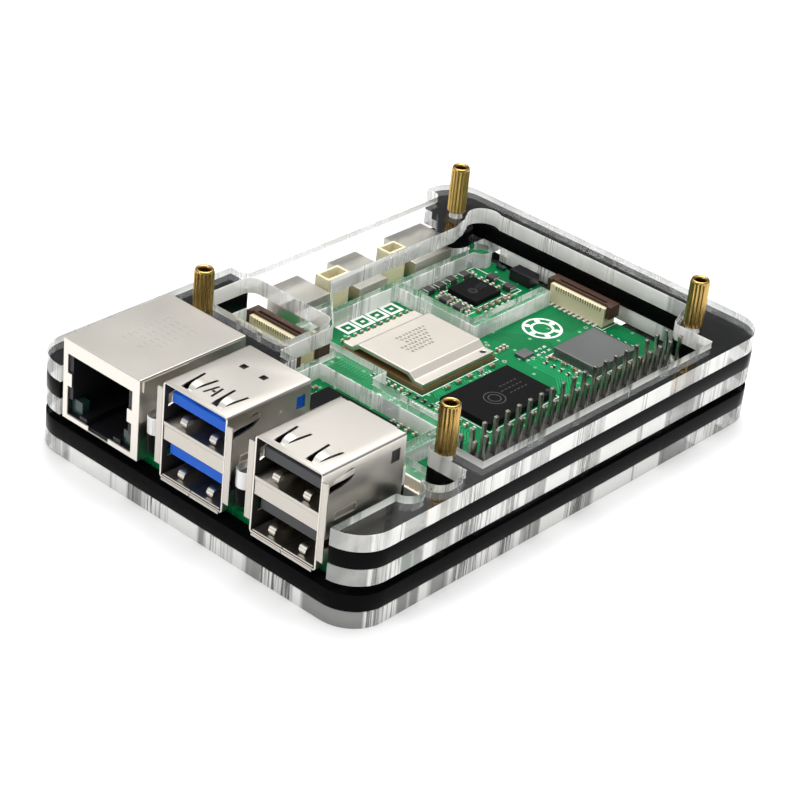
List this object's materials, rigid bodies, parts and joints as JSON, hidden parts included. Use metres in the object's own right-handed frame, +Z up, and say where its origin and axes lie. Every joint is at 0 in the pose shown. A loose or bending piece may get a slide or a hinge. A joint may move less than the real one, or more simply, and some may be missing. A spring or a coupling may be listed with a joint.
{
  "type": "single board computer",
  "caption": "Small green single board computer with stacked USB sockets, a network socket and a pin header, clamped between clear and black plastic sheets with brass standoffs.",
  "frame": {"origin": "middle of the case's underside, on the surface that it stands on", "axes": "+Z up through the board; +X towards the USB and network sockets; +Y towards the pin header"},
  "size_m": [0.0932, 0.066, 0.0232],
  "materials": {
    "clear_acrylic": "clear cast sheet with bright polished cut edges",
    "black_acrylic": "glossy black cast sheet",
    "knurled_brass": "straight knurled turned brass",
    "zinc_steel": "zinc plated screw",
    "green_solder_mask": "green lacquered glass fibre board with white markings",
    "chip_carrier": "dark green chip carrier",
    "silicon": "polished silicon",
    "nickel_lid": "satin nickel plate",
    "black_chip": "fine matt moulding",
    "grey_can": "dull tinned sheet",
    "nickel_shell": "satin nickel plated sheet",
    "black_plastic": "black moulded insert",
    "gold_contact": "gold plated contact",
    "light_lens": "tinted lens, off",
    "blue_plastic": "blue moulded tongue",
    "dark_plastic": "dark grey moulded tongue",
    "tin_pin": "bright tinned square pin",
    "cream_plastic": "cream moulded housing",
    "brown_plastic": "dark brown moulded latch",
    "white_plastic": "white moulding",
    "ferrite": "moulded iron powder",
    "ceramic": "tan ceramic with tinned ends",
    "resistor_black": "black glaze with tinned ends"
  },
  "bodies": {
    "computer": {"base_plate_clear": "clear_acrylic", "lower_black_layer": "black_acrylic", "middle_clear_layer": "clear_acrylic", "upper_black_layer": "black_acrylic", "top_clear_layer": "clear_acrylic", "standoffs": "knurled_brass", "base_screws": "zinc_steel", "circuit_board": "green_solder_mask", "processor_carrier": "chip_carrier", "processor_die": "silicon", "processor_lid": "nickel_lid", "memory_chip": "black_chip", "io_controller_chip": "black_chip", "power_management_chip": "black_chip", "wireless_shield": "grey_can", "network_shell": "nickel_shell", "network_body": "black_plastic", "network_contacts": "gold_contact", "network_lights": "light_lens", "usb_blue_shell": "nickel_shell", "usb_blue_body": "blue_plastic", "usb_blue_contacts": "gold_contact", "usb_black_shell": "nickel_shell", "usb_black_body": "dark_plastic", "usb_black_contacts": "gold_contact", "header_strip": "black_plastic", "header_pins": "tin_pin", "usb_c_shell": "nickel_shell", "usb_c_tongue": "black_plastic", "video_shells": "nickel_shell", "video_tongues": "black_plastic", "camera_socket": "cream_plastic", "display_socket": "cream_plastic", "expansion_socket": "cream_plastic", "ribbon_contacts": "tin_pin", "clock_battery_socket": "cream_plastic", "debug_socket": "cream_plastic", "fan_socket": "white_plastic", "small_socket_pins": "gold_contact", "power_button_body": "black_plastic", "status_light": "light_lens", "power_inductors": "ferrite", "ceramic_capacitors": "ceramic", "chip_resistors": "resistor_black", "crystals": "grey_can", "memory_card_socket": "grey_can"},
    "power_button": {"power_button_plunger": "white_plastic"},
    "camera_latch": {"camera_latch": "brown_plastic"},
    "display_latch": {"display_latch": "brown_plastic"},
    "expansion_latch": {"expansion_latch": "brown_plastic"}
  },
  "joints": [
    {"name": "power_button_press", "type": "slide", "parent": "computer", "child": "power_button", "axis": [1, 0, 0], "range_m": [0, 0.00025], "stiffness_N_per_m": 4000, "springref_m": -0.0001},
    {"name": "camera_latch_lift", "type": "slide", "parent": "computer", "child": "camera_latch", "axis": [0, 0, 1], "range_m": [0, 0.0008]},
    {"name": "display_latch_lift", "type": "slide", "parent": "computer", "child": "display_latch", "axis": [0, 0, 1], "range_m": [0, 0.0008]},
    {"name": "expansion_latch_lift", "type": "slide", "parent": "computer", "child": "expansion_latch", "axis": [0, 0, 1], "range_m": [0, 0.0008]}
  ]
}
